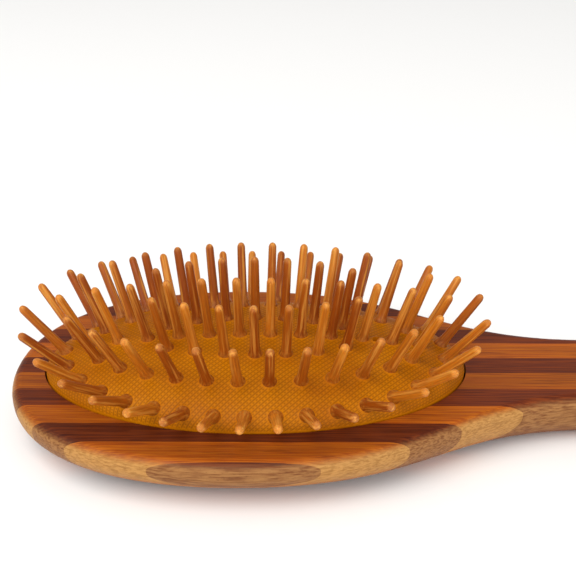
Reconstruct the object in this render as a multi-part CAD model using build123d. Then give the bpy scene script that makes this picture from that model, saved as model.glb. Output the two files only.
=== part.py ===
from build123d import *
import math
import os

# Oval cushion brush of laminated bamboo: a board glued up from strips, a domed rubber
# cushion snapped into a recess in its face, and bamboo pins pushed through the rubber.
# Millimetres. +X runs to the end of the handle, +Z is the side with the pins, and the
# origin is on the flat of the back, under the middle of the cushion.

# ---- cushion ----
CUSHION_HALF_LENGTH = 41.8
CUSHION_HALF_WIDTH = 22.2
CUSHION_RISE = 7.3          # crown of the dome above the board's face
RUBBER = 1.2
SKIRT_DEPTH = 3.6           # how far the skirt reaches below the face
LIP_HEIGHT = 1.6
LIP_REACH = 1.3             # how far the lip stands out of the skirt
VENT_RADIUS = 0.9
VENT_X = 24.1

# ---- board ----
BOARD_THICKNESS = 11.0      # flat of the back to the face
TOE_MARGIN = 6.5            # wood beyond the cushion at the free end of the head
SIDE_MARGIN = 9.4           # wood beside the cushion
HEAD_TOE_X = -CUSHION_HALF_LENGTH - TOE_MARGIN
HEAD_WIDEST_X = -3.0
HEAD_HALF_WIDTH = CUSHION_HALF_WIDTH + SIDE_MARGIN
NECK_X = 70.0               # narrowest place of the handle
NECK_HALF_WIDTH = 11.1
SWELL_X = 132.0             # widest place of the grip
SWELL_HALF_WIDTH = 13.0
HANDLE_END_X = 172.0
ROUND_END = 0.62            # fullness of the rounded ends, 0.55 is an ellipse
NECK_PULL_HEAD = 0.52       # how long the head's side stays wide, share of its run
NECK_PULL_NECK = 0.47       # how long the neck stays narrow, share of the same run
GRIP_PULL = 0.40
FACE_EDGE_RADIUS = 2.0      # round between the face and the flank
FLANK_WALL = 0.5            # straight part of the flank below the round
BELLY_HEIGHT = BOARD_THICKNESS - FACE_EDGE_RADIUS - FLANK_WALL
BACK_NARROWING = 0.55       # share of the width that the flank takes in, down to the back
BACK_TOE_INSET = 15.0
BACK_END_INSET = 11.0
BELLY_SECTIONS = 7
ROUND_SECTIONS = 5

# ---- strips that the board is glued up from ----
FULL_STRIPS = 11            # an odd count, so that one strip runs along the middle
SLIVER_WIDTH = 1.35         # what is left of the outermost strip on each side
STRIP_WIDTH = 2 * (HEAD_HALF_WIDTH - SLIVER_WIDTH) / FULL_STRIPS

# ---- recess ----
RIM_GAP = 0.35              # open line round the cushion at the face
LIP_CLEARANCE = 0.2
SEAT_WIDTH = 1.4            # ledge that the skirt stands on
CHAMBER_DEPTH = 5.4         # depth of the air chamber below the face

# ---- pins ----
PIN_LENGTH = 13.4           # from the rubber to the tip
PIN_BASE_RADIUS = 0.93
PIN_TIP_RADIUS = 0.83
FLARE_RADIUS = 1.40
FLARE_HEIGHT = 1.4
FLARE_SKIRT = 0.35          # straight part at the foot of the flare
NECK_RADIUS = 0.75
HEAD_RADIUS = 1.5
HEAD_THICKNESS = 0.9
HOLE_CLEARANCE = 0.05
SEAT_CLEARANCE = 0.10
SPLAY = 1.9                 # pins lean out more than the rubber's normal, by this factor
SIDE_LEAN = 0.10            # the whole field of pins also leans a little to the right

# ---- places of the pins, the ovals as shares of the cushion's half sizes ----
OUTER_COUNT = 33
OUTER_ALONG = 0.90
OUTER_ACROSS = 0.945
OUTER_START = 0.5           # first place from the handle end, in steps
SECOND_COUNT = 26
SECOND_ALONG = 0.78
SECOND_ACROSS = 0.64
SECOND_START = 0
THIRD_COUNT = 16
THIRD_ALONG = 0.507
THIRD_ACROSS = 0.306
THIRD_START = 0
MIDDLE_COUNT = 6
MIDDLE_PITCH = 6.0
END_PIN_ALONG = 0.646       # one more pin on the middle line at each end


def half_outline(side, inset, shrink):
    """One side of the board's outline: four curves from the toe to the handle's end.

    `inset` goes from 0 at the widest line to 1 at the back, and `shrink` is in millimetres.
    """
    narrow = 1 - BACK_NARROWING * inset
    toe = HEAD_TOE_X + BACK_TOE_INSET * inset + shrink
    end = HANDLE_END_X - BACK_END_INSET * inset - shrink
    head = side * (HEAD_HALF_WIDTH * narrow - shrink)
    neck = side * (NECK_HALF_WIDTH * narrow - shrink)
    swell = side * (SWELL_HALF_WIDTH * narrow - shrink)
    taper = NECK_X - HEAD_WIDEST_X
    grip = SWELL_X - NECK_X
    return [
        Bezier(
            (toe, 0),
            (toe, head * ROUND_END),
            (HEAD_WIDEST_X - (HEAD_WIDEST_X - toe) * ROUND_END, head),
            (HEAD_WIDEST_X, head),
        ),
        Bezier(
            (HEAD_WIDEST_X, head),
            (HEAD_WIDEST_X + taper * NECK_PULL_HEAD, head),
            (NECK_X - taper * NECK_PULL_NECK, neck),
            (NECK_X, neck),
        ),
        Bezier(
            (NECK_X, neck),
            (NECK_X + grip * GRIP_PULL, neck),
            (SWELL_X - grip * GRIP_PULL, swell),
            (SWELL_X, swell),
        ),
        Bezier(
            (SWELL_X, swell),
            (SWELL_X + (end - SWELL_X) * ROUND_END, swell),
            (end, swell * ROUND_END),
            (end, 0),
        ),
    ]


def quarter_turn(count):
    """`count` angles from 0 to a right angle, in radians."""
    return [math.radians(90 * step / (count - 1)) for step in range(count)]


def outline(z, inset=0, shrink=0):
    """The board's outline as a face at height z."""
    edges = half_outline(1, inset, shrink) + half_outline(-1, inset, shrink)
    return make_face(Pos(0, 0, z) * Curve(edges))


def board():
    """The whole board: rounded back, flat face, before the recess and the strips."""
    round_foot = BOARD_THICKNESS - FACE_EDGE_RADIUS
    belly = []
    for angle in quarter_turn(BELLY_SECTIONS):
        belly.append(outline(BELLY_HEIGHT * (1 - math.cos(angle)), inset=1 - math.sin(angle)))
    face_round = []
    for angle in quarter_turn(ROUND_SECTIONS):
        rise = FACE_EDGE_RADIUS * math.sin(angle)
        shrink = FACE_EDGE_RADIUS * (1 - math.cos(angle))
        face_round.append(outline(round_foot + rise, shrink=shrink))
    wall = extrude(outline(BELLY_HEIGHT), round_foot - BELLY_HEIGHT)
    return loft(belly) + wall + loft(face_round)


def oval(growth, low, high):
    """An upright oval block concentric with the cushion, `growth` larger all round."""
    half_length = CUSHION_HALF_LENGTH + growth
    half_width = CUSHION_HALF_WIDTH + growth
    return extrude(Pos(0, 0, low) * Ellipse(half_length, half_width), high - low)


def recess():
    """What is cut out of the face: mouth, undercut groove and air chamber."""
    face = BOARD_THICKNESS
    groove_top = face - SKIRT_DEPTH + LIP_HEIGHT + LIP_CLEARANCE
    groove = oval(LIP_REACH + LIP_CLEARANCE, face - SKIRT_DEPTH, groove_top)
    mouth = oval(RIM_GAP, face - SKIRT_DEPTH, face + 1)
    chamber = oval(-RUBBER - SEAT_WIDTH, face - CHAMBER_DEPTH, face)
    return groove + mouth + chamber


def strips(body):
    """The glued-up strips: (name, solid), from the left edge seen from the handle."""
    half = FULL_STRIPS * STRIP_WIDTH / 2
    cuts = [half - STRIP_WIDTH * number for number in range(FULL_STRIPS + 1)]
    reach = 2 * HEAD_HALF_WIDTH
    bounds = [reach] + cuts + [-reach]
    length = 2 * (HANDLE_END_X - HEAD_TOE_X)
    found = []
    for number, (top, bottom) in enumerate(zip(bounds, bounds[1:]), start=1):
        slab = Pos(0, (top + bottom) / 2, 0) * Box(length, top - bottom, 4 * BOARD_THICKNESS)
        found.append((f"strip_{number:02d}", body & slab))
    return found


def dome(shrink):
    """A half ellipsoid on the board's face, `shrink` inside the cushion's outside."""
    ball = scale(
        Sphere(1),
        by=(
            CUSHION_HALF_LENGTH - shrink,
            CUSHION_HALF_WIDTH - shrink,
            CUSHION_RISE - shrink,
        ),
    )
    room = 3 * CUSHION_HALF_LENGTH
    above = Pos(0, 0, CUSHION_RISE / 2) * Box(room, room, CUSHION_RISE)
    return Pos(0, 0, BOARD_THICKNESS) * (ball & above)


def rubber_height(x, y):
    """Height of the cushion's outside above the board's face."""
    share = (x / CUSHION_HALF_LENGTH) ** 2 + (y / CUSHION_HALF_WIDTH) ** 2
    return CUSHION_RISE * math.sqrt(1 - share)


def rubber_normal(x, y):
    """Outward normal of the cushion's outside."""
    return Vector(
        x / CUSHION_HALF_LENGTH**2,
        y / CUSHION_HALF_WIDTH**2,
        rubber_height(x, y) / CUSHION_RISE**2,
    ).normalized()


def pin_frame(x, y):
    """The pin's place and direction at (x, y), and its lean from the rubber's normal."""
    normal = rubber_normal(x, y)
    sideways = normal.Y * SPLAY - normal.Z * SIDE_LEAN
    axis = Vector(normal.X * SPLAY, sideways, normal.Z).normalized()
    foot = Vector(x, y, BOARD_THICKNESS + rubber_height(x, y))
    return Plane(origin=foot, z_dir=axis), math.radians(axis.get_angle(normal))


def pin(x, y):
    """One pin, turned in one piece: head, neck through the rubber, flare and shaft."""
    plane, lean = pin_frame(x, y)
    flare_foot = FLARE_RADIUS * math.tan(lean) + SEAT_CLEARANCE
    under = (RUBBER + HEAD_RADIUS * math.sin(lean)) / math.cos(lean) + SEAT_CLEARANCE
    shaft_foot = flare_foot + FLARE_HEIGHT
    shoulder = PIN_LENGTH - PIN_TIP_RADIUS
    straight = flare_foot + FLARE_SKIRT
    profile = [
        Line((0, -under - HEAD_THICKNESS), (HEAD_RADIUS, -under - HEAD_THICKNESS)),
        Line((HEAD_RADIUS, -under - HEAD_THICKNESS), (HEAD_RADIUS, -under)),
        Line((HEAD_RADIUS, -under), (NECK_RADIUS, -under)),
        Line((NECK_RADIUS, -under), (NECK_RADIUS, flare_foot)),
        Line((NECK_RADIUS, flare_foot), (FLARE_RADIUS, flare_foot)),
        Line((FLARE_RADIUS, flare_foot), (FLARE_RADIUS, straight)),
        Line((FLARE_RADIUS, straight), (PIN_BASE_RADIUS, shaft_foot)),
        Line((PIN_BASE_RADIUS, shaft_foot), (PIN_TIP_RADIUS, shoulder)),
        RadiusArc((PIN_TIP_RADIUS, shoulder), (0, PIN_LENGTH), -PIN_TIP_RADIUS),
        Line((0, PIN_LENGTH), (0, -under - HEAD_THICKNESS)),
    ]
    section = Plane.XZ * make_face(Curve(profile))
    return plane.location * revolve(section, Axis.Z)


def ring(count, along, across, start):
    """Places at equal steps round an oval; `start` is in steps from the handle end."""
    path = Ellipse(CUSHION_HALF_LENGTH * along, CUSHION_HALF_WIDTH * across).edges()[0]
    points = [path.position_at(((number + start) / count) % 1) for number in range(count)]
    return [(point.X, point.Y) for point in points]


def middle_line():
    """Places along the middle of the cushion."""
    first = -MIDDLE_PITCH * (MIDDLE_COUNT - 1) / 2
    return [(first + MIDDLE_PITCH * number, 0) for number in range(MIDDLE_COUNT)]


def pin_rings():
    """Every pin's place: (node name, places), each oval in a left and a right half."""
    ovals = [
        ("outer", ring(OUTER_COUNT, OUTER_ALONG, OUTER_ACROSS, OUTER_START)),
        ("second", ring(SECOND_COUNT, SECOND_ALONG, SECOND_ACROSS, SECOND_START)),
        ("third", ring(THIRD_COUNT, THIRD_ALONG, THIRD_ACROSS, THIRD_START)),
    ]
    groups = []
    for name, places in ovals:
        groups.append((f"{name}_pins_left", [place for place in places if place[1] > 0]))
        groups.append((f"{name}_pins_right", [place for place in places if place[1] <= 0]))
    end_x = CUSHION_HALF_LENGTH * END_PIN_ALONG
    groups.append(("middle_pins", middle_line()))
    groups.append(("end_pins", [(-end_x, 0), (end_x, 0)]))
    return groups


def cushion(places):
    """The rubber cushion: hollow dome, skirt and lip, with a hole for every pin."""
    face = BOARD_THICKNESS
    wall = oval(0, face - SKIRT_DEPTH, face) - oval(-RUBBER, face - SKIRT_DEPTH, face)
    lip_top = face - SKIRT_DEPTH + LIP_HEIGHT
    lip = oval(LIP_REACH, face - SKIRT_DEPTH, lip_top) - oval(-RUBBER, face - SKIRT_DEPTH, lip_top)
    shell = (dome(0) - dome(RUBBER)) + wall + lip
    drills = []
    for x, y in places:
        plane, lean = pin_frame(x, y)
        drills.append(plane.location * Cylinder(NECK_RADIUS + HOLE_CLEARANCE, 4 * RUBBER))
    vent_height = face + rubber_height(VENT_X, 0)
    drills.append(Pos(VENT_X, 0, vent_height) * Cylinder(VENT_RADIUS, 4 * RUBBER))
    return shell - drills


def write(name, shape):
    export_step(shape, f"parts/{name}.step")


os.makedirs("parts", exist_ok=True)
for name, solid in strips(board() - recess()):
    write(name, solid)
all_places = [place for _, places in pin_rings() for place in places]
write("rubber_cushion", cushion(all_places))
for name, places in pin_rings():
    write(name, Compound([pin(x, y) for x, y in places]))
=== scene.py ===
import math
import random

import bmesh
import bpy
import numpy
from mathutils import Matrix, Vector, kdtree


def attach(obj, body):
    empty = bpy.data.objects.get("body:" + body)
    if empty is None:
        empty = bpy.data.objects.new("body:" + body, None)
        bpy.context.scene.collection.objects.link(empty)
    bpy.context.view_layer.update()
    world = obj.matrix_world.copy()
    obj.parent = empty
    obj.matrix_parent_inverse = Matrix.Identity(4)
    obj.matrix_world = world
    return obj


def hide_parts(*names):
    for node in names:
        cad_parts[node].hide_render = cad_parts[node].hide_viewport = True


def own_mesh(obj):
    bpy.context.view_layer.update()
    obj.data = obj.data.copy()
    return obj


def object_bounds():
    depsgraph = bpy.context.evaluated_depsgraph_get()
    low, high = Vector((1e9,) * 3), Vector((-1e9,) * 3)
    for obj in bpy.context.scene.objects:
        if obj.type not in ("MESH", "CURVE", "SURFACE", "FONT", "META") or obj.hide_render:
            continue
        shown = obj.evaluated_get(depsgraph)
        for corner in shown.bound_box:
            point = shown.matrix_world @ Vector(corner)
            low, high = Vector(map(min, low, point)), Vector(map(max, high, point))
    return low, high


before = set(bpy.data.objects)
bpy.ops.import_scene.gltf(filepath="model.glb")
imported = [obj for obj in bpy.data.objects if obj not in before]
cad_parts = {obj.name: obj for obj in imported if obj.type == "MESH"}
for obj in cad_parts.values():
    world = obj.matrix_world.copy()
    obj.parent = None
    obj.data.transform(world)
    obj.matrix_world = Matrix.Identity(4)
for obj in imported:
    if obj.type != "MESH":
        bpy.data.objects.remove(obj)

cad_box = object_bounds()
bpy.ops.object.select_all(action="DESELECT")

# ---- camera, floor and light ----
# A product shot on a plain white floor: the brush lies on its back, and the camera looks
# down on the side of the head. The light is a large softbox above the left shoulder, a fill
# from the front and pale surroundings, so that nothing has a hard shadow.
FACE_HEIGHT = 0.011
CAMERA_PLACE = (0.0071, -0.1607, FACE_HEIGHT + 0.1068)
CAMERA_PITCH = math.radians(29.0)
CAMERA_TURN = math.radians(0.21)
LENS = 59.75
SENSOR = 36.0
FLOOR_SIZE = 6.0
FLOOR_DROP = 0.0002         # keeps the floor clear of the flat back
FLOOR_COLOUR = "F4F3F1"
KEY = {"place": (-0.35, -0.45, 0.95), "size": 0.9, "power": 9.5}
FILL = {"place": (0.35, -1.0, 0.3), "size": 1.2, "power": 6.0}
SURROUNDINGS = 0.62


def linear(code):
    """The linear colour of an sRGB hex code, with full alpha."""
    shares = [int(code[start:start + 2], 16) / 255 for start in (0, 2, 4)]
    low = [share / 12.92 for share in shares]
    high = [((share + 0.055) / 1.055) ** 2.4 for share in shares]
    return [a if share <= 0.04045 else b for share, a, b in zip(shares, low, high)] + [1.0]


def add(tree, kind, inputs=(), **settings):
    """Adds a node; `inputs` are its sockets' values or the sockets linked to them."""
    node = tree.nodes.new("ShaderNode" + kind)
    for key, value in settings.items():
        setattr(node, key, value)
    for key, value in dict(inputs).items():
        if isinstance(value, bpy.types.NodeSocket):
            tree.links.new(value, node.inputs[key])
        else:
            node.inputs[key].default_value = value
    return node


def new_material(name):
    """An empty material with its output, and its node tree."""
    material = bpy.data.materials.new(name)
    material.use_nodes = True
    material.node_tree.nodes.clear()
    return material, material.node_tree


def finish_material(tree, inputs):
    """Ends a material in one Principled shader with these inputs."""
    shader = add(tree, "BsdfPrincipled", inputs)
    add(tree, "OutputMaterial", {"Surface": shader.outputs[0]})


def soft_light(name, place, size, power):
    """A square softbox at `place` that faces the brush."""
    data = bpy.data.lights.new(name, "AREA")
    data.size = size
    data.energy = power
    lamp = bpy.data.objects.new(name, data)
    lamp.location = place
    lamp.rotation_euler = (-Vector(place)).to_track_quat("-Z", "Y").to_euler()
    bpy.context.collection.objects.link(lamp)


camera_data = bpy.data.cameras.new("camera")
camera_data.lens = LENS
camera_data.sensor_width = SENSOR
camera = bpy.data.objects.new("camera", camera_data)
camera.location = CAMERA_PLACE
camera.rotation_euler = (math.pi / 2 - CAMERA_PITCH, 0, CAMERA_TURN)
bpy.context.collection.objects.link(camera)
bpy.context.scene.camera = camera

soft_light("key", **KEY)
soft_light("fill", **FILL)
world = bpy.data.worlds.new("surroundings")
world.use_nodes = True
world.node_tree.nodes["Background"].inputs["Color"].default_value = linear("FFFFFF")
world.node_tree.nodes["Background"].inputs["Strength"].default_value = SURROUNDINGS
bpy.context.scene.world = world
bpy.context.scene.view_settings.view_transform = "Standard"

bpy.ops.mesh.primitive_plane_add(size=FLOOR_SIZE, location=(0, 0, cad_box[0][2] - FLOOR_DROP))
floor = bpy.context.object
floor.name = "floor"
paper, tree = new_material("matt_paper")
finish_material(tree, {"Base Color": linear(FLOOR_COLOUR), "Roughness": 0.9})
floor.data.materials.append(paper)

# ---- bamboo strips of the board and handle ----
# Thirteen strips of bamboo, glued side by side and shaped as one board, then sanded and
# given a satin lacquer. The dark ones are steamed until their sugar browns, the others
# are steamed more briefly. Each keeps its CAD solid, which has the right shape.
STRIP_WIDTH = 0.0055
STRIPS_EDGE = 0.03025       # first glue line, from the middle
FIBRE = (16, 0.24, 0.24)    # length and width of a fibre in mm
BUNDLE = (9, 0.5, 0.5)      # darker bundles of vessels
DRIFT = (60, 4, 4)          # slow change of tone along a strip
CUT_FIBRE = (5.5, 0.4, 0.35)  # fibres cut at a slant on the flank
PORE = (0.8, 0.22, 0.3)
FIBRE_RELIEF = 0.00006
STRIP_COLOURS = {           # deep and pale fibres, vessels, flank, marks on the flank
    "dark": ("501C08", "70300E", "361008", "A07040", "744422"),
    "light": ("8E4009", "AA5A0E", "6A2C08", "BC8A4C", "9A6C36"),
}


def marks(tree, place, size, **inputs):
    """Noise whose marks have this size in millimetres along X, Y and Z."""
    stretched = add(tree, "Mapping", {"Vector": place, "Scale": [1000 / side for side in size]})
    settings = {"Vector": stretched.outputs[0], "Scale": 1, "Detail": 3, "Roughness": 0.55}
    settings.update(inputs)
    dimensions = "4D" if "W" in inputs else "3D"
    return add(tree, "TexNoise", settings, noise_dimensions=dimensions).outputs[0]


def between(tree, value, low, high, start=0.0, end=1.0):
    """A smooth step of `value` from `low` to `high`, given as `start` to `end`."""
    span = {"Value": value, "From Min": low, "From Max": high, "To Min": start, "To Max": end}
    return add(tree, "MapRange", span, interpolation_type="SMOOTHSTEP").outputs[0]


def mix(tree, share, first, second, blend="MIX"):
    """Colour `first` with this share of `second`."""
    inputs = {0: share, 6: first, 7: second}
    return add(tree, "Mix", inputs, data_type="RGBA", blend_type=blend).outputs[2]


def strip_bamboo(name, deep, pale, vessel, flank, mottle):
    """Lacquered bamboo with fibres along X.

    Fine fibres and darker bundles give silky lines on the face and the back. On the flank
    the same fibres are cut at a slant, which reads paler and speckled. Each strip has a
    tone of its own, and the satin lacquer gives a broad, soft gloss.
    """
    material, tree = new_material(name)
    place = add(tree, "TexCoord").outputs["Object"]
    fibres = marks(tree, place, FIBRE)
    face = mix(tree, between(tree, fibres, 0.36, 0.66), linear(deep), linear(pale))
    bundles = between(tree, marks(tree, place, BUNDLE), 0.52, 0.68, 0, 0.55)
    face = mix(tree, bundles, face, linear(vessel))
    slow = between(tree, marks(tree, place, DRIFT), 0.3, 0.7, 0.82, 1.2)
    across = add(tree, "SeparateXYZ", {0: place}).outputs["Y"]
    steps = {0: across, 1: 1 / STRIP_WIDTH, 2: STRIPS_EDGE / STRIP_WIDTH}
    number = add(tree, "Math", steps, operation="MULTIPLY_ADD").outputs[0]
    number = add(tree, "Math", {0: number}, operation="FLOOR").outputs[0]
    own = add(tree, "TexWhiteNoise", {"W": number}, noise_dimensions="1D").outputs["Value"]
    tone = between(tree, own, 0, 1, 0.86, 1.14)
    tone = add(tree, "Math", {0: tone, 1: slow}, operation="MULTIPLY").outputs[0]
    face = add(tree, "HueSaturation", {"Value": tone, "Color": face}).outputs[0]
    slanted = between(tree, marks(tree, place, CUT_FIBRE), 0.34, 0.72)
    pores = between(tree, marks(tree, place, PORE), 0.54, 0.74, 0, 0.32)
    side = mix(tree, slanted, linear(flank), linear(mottle))
    side = mix(tree, pores, side, linear(vessel))
    normal = add(tree, "SeparateXYZ", {0: add(tree, "NewGeometry").outputs["Normal"]})
    upright = add(tree, "Math", {0: normal.outputs["Z"]}, operation="ABSOLUTE").outputs[0]
    colour = mix(tree, between(tree, upright, 0.35, 0.97, 0.95, 0), face, side)
    height = add(tree, "Bump", {"Height": fibres, "Strength": 0.35, "Distance": FIBRE_RELIEF})
    finish_material(tree, {
        "Base Color": colour,
        "Roughness": between(tree, fibres, 0.3, 0.7, 0.42, 0.58),
        "Specular IOR Level": 0.14,
        "Normal": height.outputs[0],
    })
    return material


strip_materials = {
    tone: strip_bamboo(f"{tone}_steamed_bamboo", *STRIP_COLOURS[tone]) for tone in STRIP_COLOURS
}
for name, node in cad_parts.items():
    if name.startswith("strip_"):
        tone = "dark" if int(name[-2:]) % 2 else "light"
        for place in node.material_slots:
            place.material = strip_materials[tone]

# ---- bamboo pins ----
# Short rods of bamboo, turned with a round tip and a trumpet foot that stops them at the
# rubber, and rolled in wax. Each is pushed through the cushion from above and held by a
# head below it. Every pin stands on the axis of its CAD solid.
PIN_LENGTH = 0.0134
PIN_SIDES = 16
PIN_PROFILE = (             # height above the rubber and radius, in mm
    (-1.5, 0.75), (-0.6, 0.75), (-0.55, 1.3), (-0.25, 1.46), (0.1, 1.44), (0.4, 1.32),
    (0.7, 1.2), (1.05, 1.1), (1.6, 1.01), (2.5, 0.955), (4.5, 0.92), (7.0, 0.895),
    (9.5, 0.865), (11.8, 0.84), (12.5, 0.82), (12.85, 0.72), (13.15, 0.54), (13.32, 0.3),
)
PIN_GRAIN = (0.26, 0.26, 7)
PIN_STREAK = (0.6, 0.6, 16)
PIN_FRAY = (0.35, 0.35, 0.9)
PIN_RELIEF = 0.00005
PIN_CREASE = math.radians(50)
PIN_DEEP = "96460A"
PIN_PALE = "CA761A"
PIN_VESSEL = "7A370A"
PITH = "E09A40"
# the foot's colours are painted shade where the pin meets the rubber, mottled by the fray
FOOT_SHADE_DEEP = "7C3E0C"
FOOT_SHADE_PALE = "AA621A"
FOOT_SHADE_HEIGHTS = (0.0004, 0.0024)  # heights between which the foot's painted shade runs out
# painted highlight on the tip, and the heights over which it fades in
TIP_HIGHLIGHT = "DC9C4C"
TIP_HIGHLIGHT_HEIGHTS = (0.0122, 0.0133)
GRAIN_STEP = 50             # distance between two pins' pieces of the grain pattern
PIN_SEED = 7
HEAD_RIM = 0.0002           # how far the rim of a head is looked for, from its low end
PIN_BODIES = {
    "outer_pins": ("outer_ring", ["outer_pins_left", "outer_pins_right"]),
    "second_pins": ("second_ring", ["second_pins_left", "second_pins_right"]),
    "end_pins_pair": ("second_ring", ["end_pins"]),
    "third_pins": ("third_ring", ["third_pins_left", "third_pins_right"]),
    "middle_pins_row": ("middle_ring", ["middle_pins"]),
}


def turned_pin():
    """One upright pin on the origin, extruded ring by ring from its neck to its tip."""
    (low, radius), *rings = PIN_PROFILE
    bpy.ops.mesh.primitive_circle_add(
        vertices=PIN_SIDES, radius=radius / 1000, fill_type="NGON", location=(0, 0, low / 1000)
    )
    pin = bpy.context.object
    bpy.ops.object.transform_apply(location=True, rotation=False, scale=False)
    bpy.ops.object.mode_set(mode="EDIT")
    bpy.ops.mesh.select_all(action="SELECT")
    for height, wide in rings:
        rise = (0, 0, (height - low) / 1000)
        bpy.ops.mesh.extrude_region_move(TRANSFORM_OT_translate={"value": rise})
        bpy.ops.transform.resize(
            value=(wide / radius, wide / radius, 1), center_override=(0, 0, height / 1000)
        )
        low, radius = height, wide
    bpy.ops.mesh.poke(offset=PIN_LENGTH - low / 1000)
    bpy.ops.mesh.select_all(action="SELECT")
    bpy.ops.mesh.normals_make_consistent(inside=False)
    bpy.ops.object.mode_set(mode="OBJECT")
    bpy.ops.object.shade_smooth_by_angle(angle=PIN_CREASE)
    own = pin.data.attributes.new("pin_place", "FLOAT_VECTOR", "POINT")
    own.data.foreach_set("vector", [number for v in pin.data.vertices for number in v.co])
    return pin


def pin_axes(node):
    """Foot and direction of every pin in a CAD node, from its separate solids."""
    shape = bmesh.new()
    shape.from_mesh(node.data)
    bmesh.ops.remove_doubles(shape, verts=shape.verts, dist=1e-7)
    found = []
    for start in shape.verts:
        if start.tag:
            continue
        start.tag = True
        solid = [start]
        for vertex in solid:
            for edge in vertex.link_edges:
                other = edge.other_vert(vertex)
                if not other.tag:
                    other.tag = True
                    solid.append(other)
        points = numpy.array([vertex.co for vertex in solid])
        centred = points - points.mean(axis=0)
        axis = numpy.linalg.eigh(centred.T @ centred)[1][:, 2]
        along = centred @ (axis if axis[2] > 0 else -axis)
        tip = Vector(points[along.argmax()])
        head = Vector(points[along < along.min() + HEAD_RIM].mean(axis=0))
        direction = (tip - head).normalized()
        found.append((tip - direction * PIN_LENGTH, direction))
    shape.free()
    return found


def pin_bamboo():
    """Waxed bamboo, turned thin.

    Long fibres give fine streaks along the pin, some of them pale where soft pith was cut.
    No two pins have the same tone. The foot is darkened with painted shade where it meets
    the rubber, with a frayed mottle, and the tip is paler with a painted highlight.
    """
    material, tree = new_material("waxed_bamboo")
    place = add(tree, "Attribute", attribute_name="pin_place").outputs["Vector"]
    tone = add(tree, "Attribute", attribute_name="tone").outputs["Fac"]
    own = add(tree, "Math", {0: tone, 1: GRAIN_STEP}, operation="MULTIPLY").outputs[0]
    grain = marks(tree, place, PIN_GRAIN, W=own)
    streak = marks(tree, place, PIN_STREAK, W=own)
    colour = mix(tree, between(tree, tone, 0, 1), linear(PIN_DEEP), linear(PIN_PALE))
    colour = mix(tree, between(tree, grain, 0.38, 0.62, 0, 0.45), colour, linear(PIN_VESSEL))
    colour = mix(tree, between(tree, streak, 0.48, 0.66, 0, 0.65), colour, linear(PITH))
    height = add(tree, "SeparateXYZ", {0: place}).outputs["Z"]
    fray = marks(tree, place, PIN_FRAY, W=own)
    # painted shade on the foot, fading out upwards from the rubber
    foot = between(tree, height, *FOOT_SHADE_HEIGHTS, 0.65, 0)
    foot_shade_colour = mix(tree, between(tree, fray, 0.4, 0.6), linear(FOOT_SHADE_DEEP), linear(FOOT_SHADE_PALE))
    colour = mix(tree, foot, colour, foot_shade_colour)
    # painted highlight: the tip is mixed towards a paler colour
    colour = mix(tree, between(tree, height, *TIP_HIGHLIGHT_HEIGHTS, 0, 0.22), colour, linear(TIP_HIGHLIGHT))
    bump = add(tree, "Bump", {"Height": grain, "Strength": 0.4, "Distance": PIN_RELIEF})
    finish_material(tree, {
        "Base Color": colour,
        "Roughness": between(tree, grain, 0.3, 0.7, 0.36, 0.55),
        "Specular IOR Level": 0.2,
        "Subsurface Weight": 0.12,
        "Subsurface Scale": 0.0006,
        "Normal": bump.outputs[0],
    })
    return material


pin_material = pin_bamboo()
pin = turned_pin()
draw = random.Random(PIN_SEED)
feet = []
for name, (body, nodes) in PIN_BODIES.items():
    copies = []
    for node in nodes:
        for foot, direction in pin_axes(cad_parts[node]):
            feet.append(foot)
            mesh = pin.data.copy()
            tone = mesh.attributes.new("tone", "FLOAT", "POINT")
            tone.data.foreach_set("value", [draw.random()] * len(mesh.vertices))
            turn = Matrix.Rotation(draw.uniform(0, math.tau), 4, "Z")
            lean = direction.to_track_quat("Z", "Y").to_matrix().to_4x4()
            mesh.transform(Matrix.Translation(foot) @ lean @ turn)
            copies.append(bpy.data.objects.new(name, mesh))
            bpy.context.collection.objects.link(copies[-1])
    bpy.ops.object.select_all(action="DESELECT")
    for copy in copies:
        copy.select_set(True)
    bpy.context.view_layer.objects.active = copies[0]
    bpy.ops.object.join()
    group = bpy.context.object
    group.name = name
    group.data.materials.clear()
    group.data.materials.append(pin_material)
    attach(group, body)
    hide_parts(*nodes)
bpy.data.objects.remove(pin)

# ---- rubber cushion ----
# A hollow dome of natural rubber, moulded with a fine diamond relief, a vent hole near
# the handle and a skirt that snaps into the board. The rubber bulges a little where each
# pin comes through. The real rubber sinks with the pins when it is pressed; this dome
# rides on the board and does not bend.
HALF_LENGTH = 0.0418
HALF_WIDTH = 0.0222
RISE = 0.0073
SKIRT = 0.0034
RELIEF_PITCH = 0.00115      # from groove to groove along X
RELIEF_DEPTH = 0.00013
CELLS = 4                   # cells of the mesh from groove to groove
SPREAD = 0.125              # how much the mesh widens in the middle, to close up at the rim
SPREAD_POWER = 8
BULGE = 0.00022
BULGE_REACH = 0.0015
VENT_PLACE = (0.0241, 0.0)
VENT_RADIUS = 0.0009
VENT_LIP = 0.00035
VENT_DEPTH = 0.0022
VENT_RAISE = 0.0002         # the vent's rim stands up a little
VENT_EDGE = 0.0003          # width of the step at the vent's edge
PLAIN_RIM = 0.02            # share of the cushion at its rim where the relief runs out
COLLAR = 0.0013             # plain ring round a pin
COLLAR_FADE = 0.0006
CUSHION_CREASE = math.radians(35)
PATCH = (14, 9, 9)          # slow change of tone, in mm
SKIN = (0.3, 0.3, 0.3)      # fine unevenness of the moulded skin
SKIN_RELIEF = 0.00004
RUBBER_DEEP = "AE6000"
RUBBER_PALE = "C07200"
# painted shade colour for the grooves of the relief
GROOVE_SHADE = "6E3A00"


def smooth(value):
    """A smooth step from 0 to 1."""
    value = min(max(value, 0), 1)
    return value * value * (3 - 2 * value)


def rim_share(point):
    """0 at the middle of the cushion, 1 on its rim."""
    return math.hypot(point.x / HALF_LENGTH, point.y / HALF_WIDTH)


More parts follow.
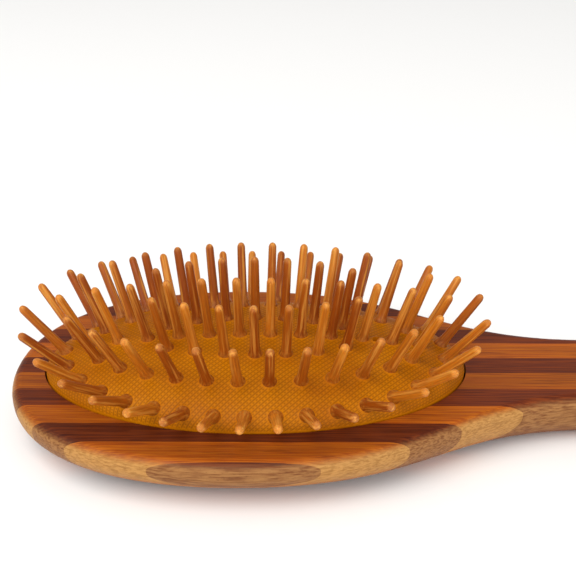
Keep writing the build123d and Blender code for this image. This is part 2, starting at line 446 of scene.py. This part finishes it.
def diamond(column, row):
    """Height of the relief at a vertex of the mesh: 0 in a groove, 1 on a diamond's top."""
    lines = [(column + row) % CELLS, (column - row) % CELLS]
    depth = min(min(line, CELLS - line) for line in lines)
    return (0, 0.7, 1)[depth]


def cushion_dome():
    """The cushion's outside as one closed shape, with its relief, bulges, vent and skirt."""
    cell = RELIEF_PITCH / CELLS / (1 + SPREAD)
    columns = 2 * math.ceil(HALF_LENGTH / cell)
    rows = 2 * math.ceil(HALF_WIDTH / cell)
    shape = bmesh.new()
    bmesh.ops.create_grid(shape, x_segments=columns, y_segments=rows, size=1)
    groove = shape.verts.layers.float.new("groove")
    for vertex in shape.verts:
        column = round(vertex.co.x * columns / 2)
        row = round(vertex.co.y * rows / 2)
        vertex[groove] = diamond(column, row)
        vertex.co = (column * cell, row * cell, 0)
    outside = [face for face in shape.faces if rim_share(face.calc_center_median()) > 1]
    bmesh.ops.delete(shape, geom=outside, context="FACES")
    rim = [edge for edge in shape.edges if edge.is_boundary]
    for vertex in {vertex for edge in rim for vertex in edge.verts}:
        vertex.co /= rim_share(vertex.co)
    tree = kdtree.KDTree(len(feet))
    for number, foot in enumerate(feet):
        tree.insert(foot, number)
    tree.balance()
    for vertex in shape.verts:
        share = rim_share(vertex.co)
        vertex.co *= 1 + SPREAD * (1 - share**SPREAD_POWER)
        x, y = vertex.co.xy
        height = RISE * math.sqrt(max(1 - rim_share(vertex.co) ** 2, 0))
        vertex.co.z = FACE_HEIGHT + height
        normal = Vector((x / HALF_LENGTH**2, y / HALF_WIDTH**2, height / RISE**2)).normalized()
        near = tree.find(vertex.co)[2]
        vent = math.dist((x, y), VENT_PLACE)
        plain = min(smooth((1 - share) / PLAIN_RIM), smooth((near - COLLAR) / COLLAR_FADE))
        plain = min(plain, smooth((vent - VENT_RADIUS - VENT_LIP) / VENT_LIP))
        out = RELIEF_DEPTH * (vertex[groove] - 1) * plain
        out += BULGE * math.exp(-((near / BULGE_REACH) ** 2))
        out += VENT_RAISE * math.exp(-(((vent - VENT_RADIUS) / VENT_LIP) ** 2))
        vertex[groove] = 1 - (1 - vertex[groove]) * plain
        vertex.co += normal * out
        vertex.co.z -= VENT_DEPTH * smooth((VENT_RADIUS - vent) / VENT_EDGE)
    skirt = bmesh.ops.extrude_edge_only(shape, edges=rim)["geom"]
    for vertex in skirt:
        if isinstance(vertex, bmesh.types.BMVert):
            vertex.co.z = FACE_HEIGHT - SKIRT
            vertex[groove] = 1
    bmesh.ops.holes_fill(shape, edges=[edge for edge in shape.edges if edge.is_boundary])
    bmesh.ops.recalc_face_normals(shape, faces=shape.faces)
    mesh = bpy.data.meshes.new("cushion_dome")
    shape.to_mesh(mesh)
    shape.free()
    return mesh


def moulded_rubber():
    """Natural rubber, moulded and coloured through.

    The grooves of the relief are darkened with painted shade. The skin is satin, with
    a slight change of tone from place to place.
    """
    material, tree = new_material("moulded_rubber")
    place = add(tree, "TexCoord").outputs["Object"]
    raised = add(tree, "Attribute", attribute_name="groove").outputs["Fac"]
    patches = marks(tree, place, PATCH)
    skin = marks(tree, place, SKIN)
    colour = mix(tree, between(tree, patches, 0.3, 0.7), linear(RUBBER_DEEP), linear(RUBBER_PALE))
    # painted shade: the grooves are mixed towards the shade colour
    colour = mix(tree, between(tree, raised, 0, 1, 0.6, 0), colour, linear(GROOVE_SHADE))
    bump = add(tree, "Bump", {"Height": skin, "Strength": 0.25, "Distance": SKIN_RELIEF})
    finish_material(tree, {
        "Base Color": colour,
        "Roughness": between(tree, skin, 0.3, 0.7, 0.42, 0.58),
        "Specular IOR Level": 0.08,
        "Normal": bump.outputs[0],
    })
    return material


cushion = bpy.data.objects.new("cushion_dome", cushion_dome())
bpy.context.collection.objects.link(cushion)
bpy.ops.object.select_all(action="DESELECT")
cushion.select_set(True)
bpy.context.view_layer.objects.active = cushion
bpy.ops.object.shade_smooth_by_angle(angle=CUSHION_CREASE)
cushion.data.materials.append(moulded_rubber())
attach(cushion, "board")
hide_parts("rubber_cushion")
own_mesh(cushion)
